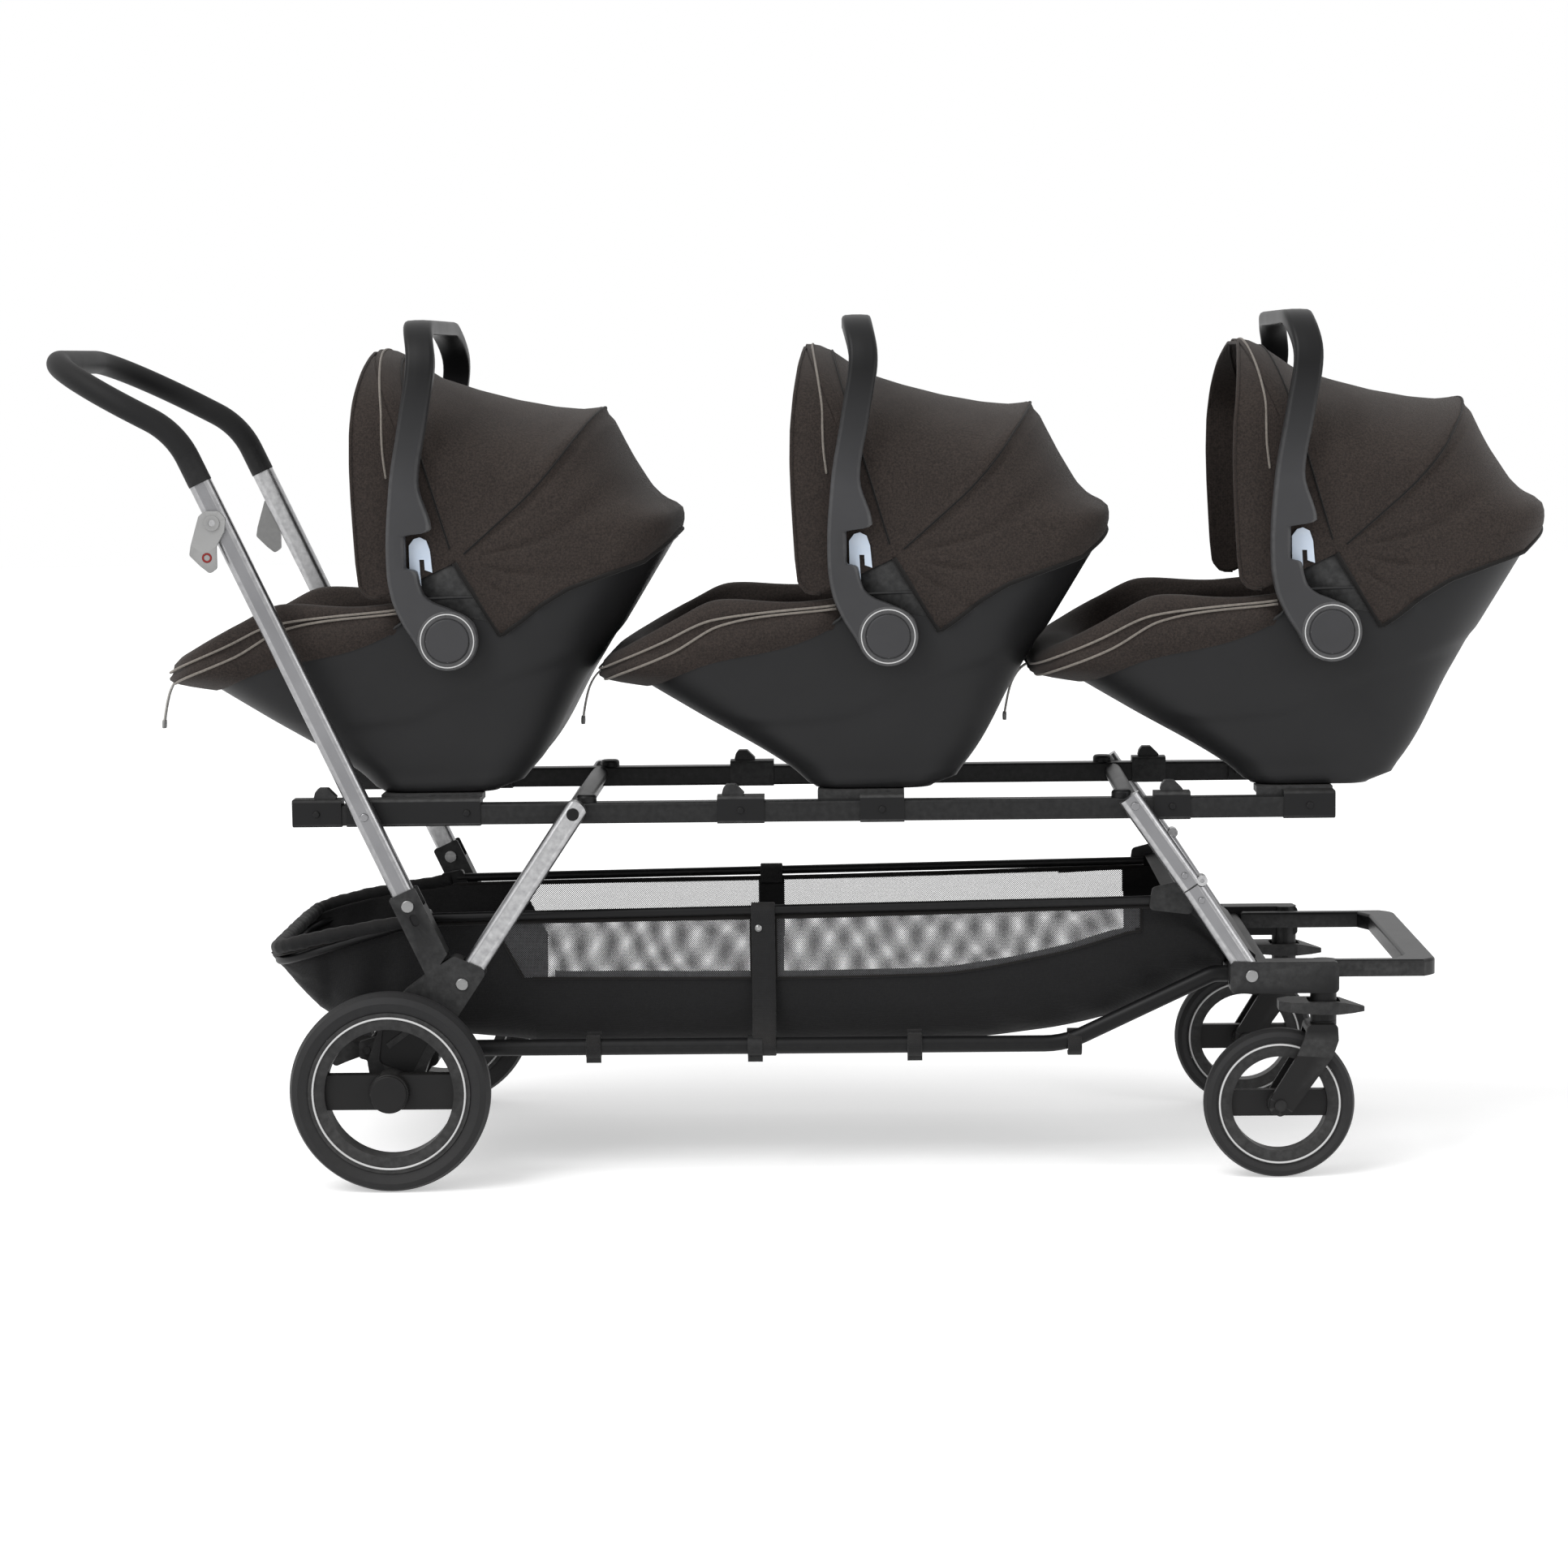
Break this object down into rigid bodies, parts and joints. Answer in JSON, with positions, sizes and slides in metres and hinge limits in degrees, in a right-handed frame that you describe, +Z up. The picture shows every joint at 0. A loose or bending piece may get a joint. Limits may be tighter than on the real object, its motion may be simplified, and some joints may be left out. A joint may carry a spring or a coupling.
{
  "type": "triple stroller",
  "caption": "Tandem pushchair frame on four wheels carrying a row of infant seats with canopies and carry handles, with a long shopping basket below.",
  "frame": {"origin": "on the ground under the middle of the overall size", "axes": "+X to the front, +Y to the stroller's left, +Z up"},
  "size_m": [1.8135, 0.596, 1.034],
  "materials": {
    "satin_aluminium": "brushed satin",
    "black_tube": "semi-gloss powder coat",
    "black_plastic": "fine grain",
    "charcoal_plastic": "fine grain",
    "brown_fabric": "woven melange",
    "black_fabric": "woven",
    "grip_foam": "soft",
    "tyre_rubber": "matt",
    "steel_parts": "zinc",
    "guide_plastic": "smooth",
    "webbing": "woven strap"
  },
  "bodies": {
    "chassis": {"rear_axle": "black_plastic", "rear_brackets": "black_plastic", "lower_side_tubes": "black_tube", "front_crossmember": "black_plastic", "footrest_bumper": "black_plastic", "basket_rim_tubes": "black_tube", "basket": "black_fabric", "basket_front_panel": "black_plastic", "frame_bolts": "steel_parts"},
    "brake": {"brake_pedal": "black_plastic"},
    "rear_legs": {"rear_legs": "satin_aluminium"},
    "upper_frame": {"side_rails": "black_tube", "rail_fittings": "black_plastic", "seat_adapters": "black_plastic", "cross_tubes": "black_tube"},
    "front_leg_lower": {"front_leg_lower": "satin_aluminium"},
    "front_leg_upper": {"front_leg_upper": "satin_aluminium"},
    "push_handle": {"handle_tube": "satin_aluminium", "handle_grip": "grip_foam"},
    "release_lever_left": {"release_lever_left": "black_plastic"},
    "rear_wheel_left": {"rear_wheel_left": "black_plastic", "rear_tyre_left": "tyre_rubber"},
    "caster_left": {"caster_fork_left": "black_plastic"},
    "front_wheel_left": {"front_wheel_left": "black_plastic", "front_tyre_left": "tyre_rubber"},
    "swivel_lock_left": {"swivel_lock_left": "black_plastic"},
    "release_lever_right": {"release_lever_right": "black_plastic"},
    "rear_wheel_right": {"rear_wheel_right": "black_plastic", "rear_tyre_right": "tyre_rubber"},
    "caster_right": {"caster_fork_right": "black_plastic"},
    "front_wheel_right": {"front_wheel_right": "black_plastic", "front_tyre_right": "tyre_rubber"},
    "swivel_lock_right": {"swivel_lock_right": "black_plastic"},
    "rear_seat": {"rear_seat_shell": "charcoal_plastic", "rear_seat_liner": "brown_fabric", "rear_canopy": "brown_fabric", "rear_belt_guides": "guide_plastic", "rear_harness": "webbing"},
    "rear_carry_handle": {"rear_carry_handle": "black_plastic"},
    "rear_canopy_bow": {"rear_canopy_bow": "steel_parts"},
    "rear_hub_button_left": {"rear_hub_button_left": "black_plastic"},
    "rear_hub_button_right": {"rear_hub_button_right": "black_plastic"},
    "middle_seat": {"middle_seat_shell": "charcoal_plastic", "middle_seat_liner": "brown_fabric", "middle_canopy": "brown_fabric", "middle_belt_guides": "guide_plastic", "middle_harness": "webbing"},
    "middle_carry_handle": {"middle_carry_handle": "black_plastic"},
    "middle_canopy_bow": {"middle_canopy_bow": "steel_parts"},
    "middle_hub_button_left": {"middle_hub_button_left": "black_plastic"},
    "middle_hub_button_right": {"middle_hub_button_right": "black_plastic"},
    "front_seat": {"front_seat_shell": "charcoal_plastic", "front_seat_liner": "brown_fabric", "front_canopy": "brown_fabric", "front_belt_guides": "guide_plastic", "front_harness": "webbing"},
    "front_carry_handle": {"front_carry_handle": "black_plastic"},
    "front_canopy_bow": {"front_canopy_bow": "steel_parts"},
    "front_hub_button_left": {"front_hub_button_left": "black_plastic"},
    "front_hub_button_right": {"front_hub_button_right": "black_plastic"}
  },
  "joints": [
    {"name": "frame_fold", "type": "hinge", "parent": "chassis", "child": "rear_legs", "pos_m": [-0.404, 0, 0.2436], "axis": [0, 1, 0], "range_deg": [0, 24]},
    {"name": "rail_level", "type": "hinge", "parent": "rear_legs", "child": "upper_frame", "pos_m": [-0.268, 0, 0.4464], "axis": [0, 1, 0], "range_deg": [-24, 0]},
    {"name": "front_leg_fold", "type": "hinge", "parent": "chassis", "child": "front_leg_lower", "pos_m": [0.5382, 0, 0.2458], "axis": [0, 1, 0], "range_deg": [-50.96, 0]},
    {"name": "front_knee_fold", "type": "hinge", "parent": "front_leg_lower", "child": "front_leg_upper", "pos_m": [0.47969, 0, 0.35995], "axis": [0, 1, 0], "range_deg": [0, 121.49]},
    {"name": "handle_fold", "type": "hinge", "parent": "chassis", "child": "push_handle", "pos_m": [-0.4672, 0, 0.3381], "axis": [0, 1, 0], "range_deg": [0, 60]},
    {"name": "brake_press", "type": "hinge", "parent": "chassis", "child": "brake", "pos_m": [-0.526, 0, 0.158], "axis": [0, 1, 0], "range_deg": [-12, 0]},
    {"name": "release_left", "type": "hinge", "parent": "push_handle", "child": "release_lever_left", "pos_m": [-0.6882, 0.246, 0.798], "axis": [0, 1, 0], "range_deg": [0, 18], "stiffness_Nm_per_rad": 0.6, "springref_deg": -5.73},
    {"name": "rear_wheel_spin_left", "type": "hinge", "parent": "chassis", "child": "rear_wheel_left", "pos_m": [-0.4891, 0.275, 0.12], "axis": [0, 1, 0], "continuous": true},
    {"name": "caster_swivel_left", "type": "hinge", "parent": "chassis", "child": "caster_left", "pos_m": [0.625, 0.228, 0.19], "axis": [0, 0, 1], "continuous": true},
    {"name": "front_wheel_spin_left", "type": "hinge", "parent": "caster_left", "child": "front_wheel_left", "pos_m": [0.5721, 0.228, 0.09], "axis": [0, 1, 0], "continuous": true},
    {"name": "swivel_lock_left", "type": "hinge", "parent": "chassis", "child": "swivel_lock_left", "pos_m": [0.625, 0.228, 0.207], "axis": [0, 1, 0], "range_deg": [0, 10]},
    {"name": "release_right", "type": "hinge", "parent": "push_handle", "child": "release_lever_right", "pos_m": [-0.6882, -0.246, 0.798], "axis": [0, 1, 0], "range_deg": [0, 18], "stiffness_Nm_per_rad": 0.6, "springref_deg": -5.73},
    {"name": "rear_wheel_spin_right", "type": "hinge", "parent": "chassis", "child": "rear_wheel_right", "pos_m": [-0.4891, -0.275, 0.12], "axis": [0, 1, 0], "continuous": true},
    {"name": "caster_swivel_right", "type": "hinge", "parent": "chassis", "child": "caster_right", "pos_m": [0.625, -0.228, 0.19], "axis": [0, 0, 1], "continuous": true},
    {"name": "front_wheel_spin_right", "type": "hinge", "parent": "caster_right", "child": "front_wheel_right", "pos_m": [0.5721, -0.228, 0.09], "axis": [0, 1, 0], "continuous": true},
    {"name": "swivel_lock_right", "type": "hinge", "parent": "chassis", "child": "swivel_lock_right", "pos_m": [0.625, -0.228, 0.207], "axis": [0, 1, 0], "range_deg": [0, 10]},
    {"name": "rear_seat_lift", "type": "slide", "parent": "upper_frame", "child": "rear_seat", "axis": [0.5593, 0, 0.829], "range_m": [0, 0.05]},
    {"name": "rear_carry_handle_turn", "type": "hinge", "parent": "rear_seat", "child": "rear_carry_handle", "pos_m": [-0.4163, 0, 0.6529], "axis": [0, 1, 0], "range_deg": [-20, 60]},
    {"name": "rear_canopy_fold", "type": "hinge", "parent": "rear_seat", "child": "rear_canopy_bow", "pos_m": [-0.4086, 0, 0.7448], "axis": [0, 1, 0], "range_deg": [0, 50], "deforming": ["rear_canopy"]},
    {"name": "rear_hub_press_left", "type": "slide", "parent": "rear_carry_handle", "child": "rear_hub_button_left", "axis": [0, -1, 0], "range_m": [0, 0.0025], "stiffness_N_per_m": 400, "springref_m": -0.002},
    {"name": "rear_hub_press_right", "type": "slide", "parent": "rear_carry_handle", "child": "rear_hub_button_right", "axis": [0, 1, 0], "range_m": [0, 0.0025], "stiffness_N_per_m": 400, "springref_m": -0.002},
    {"name": "middle_seat_lift", "type": "slide", "parent": "upper_frame", "child": "middle_seat", "axis": [0.5593, 0, 0.829], "range_m": [0, 0.05]},
    {"name": "middle_carry_handle_turn", "type": "hinge", "parent": "middle_seat", "child": "middle_carry_handle", "pos_m": [0.1097, 0, 0.6529], "axis": [0, 1, 0], "range_deg": [-20, 60]},
    {"name": "middle_canopy_fold", "type": "hinge", "parent": "middle_seat", "child": "middle_canopy_bow", "pos_m": [0.1174, 0, 0.7448], "axis": [0, 1, 0], "range_deg": [0, 50], "deforming": ["middle_canopy"]},
    {"name": "middle_hub_press_left", "type": "slide", "parent": "middle_carry_handle", "child": "middle_hub_button_left", "axis": [0, -1, 0], "range_m": [0, 0.0025], "stiffness_N_per_m": 400, "springref_m": -0.002},
    {"name": "middle_hub_press_right", "type": "slide", "parent": "middle_carry_handle", "child": "middle_hub_button_right", "axis": [0, 1, 0], "range_m": [0, 0.0025], "stiffness_N_per_m": 400, "springref_m": -0.002},
    {"name": "front_seat_lift", "type": "slide", "parent": "upper_frame", "child": "front_seat", "axis": [0.5593, 0, 0.829], "range_m": [0, 0.05]},
    {"name": "front_carry_handle_turn", "type": "hinge", "parent": "front_seat", "child": "front_carry_handle", "pos_m": [0.6357, 0, 0.6529], "axis": [0, 1, 0], "range_deg": [-20, 60]},
    {"name": "front_canopy_fold", "type": "hinge", "parent": "front_seat", "child": "front_canopy_bow", "pos_m": [0.6434, 0, 0.7448], "axis": [0, 1, 0], "range_deg": [0, 50], "deforming": ["front_canopy"]},
    {"name": "front_hub_press_left", "type": "slide", "parent": "front_carry_handle", "child": "front_hub_button_left", "axis": [0, -1, 0], "range_m": [0, 0.0025], "stiffness_N_per_m": 400, "springref_m": -0.002},
    {"name": "front_hub_press_right", "type": "slide", "parent": "front_carry_handle", "child": "front_hub_button_right", "axis": [0, 1, 0], "range_m": [0, 0.0025], "stiffness_N_per_m": 400, "springref_m": -0.002}
  ],
  "couplings": [
    {"joint": "rail_level", "follows": "frame_fold", "ratio": -1},
    {"joint": "front_leg_fold", "follows": "frame_fold", "ratio": -2.1193},
    {"joint": "front_knee_fold", "follows": "frame_fold", "ratio": 5.0578}
  ]
}
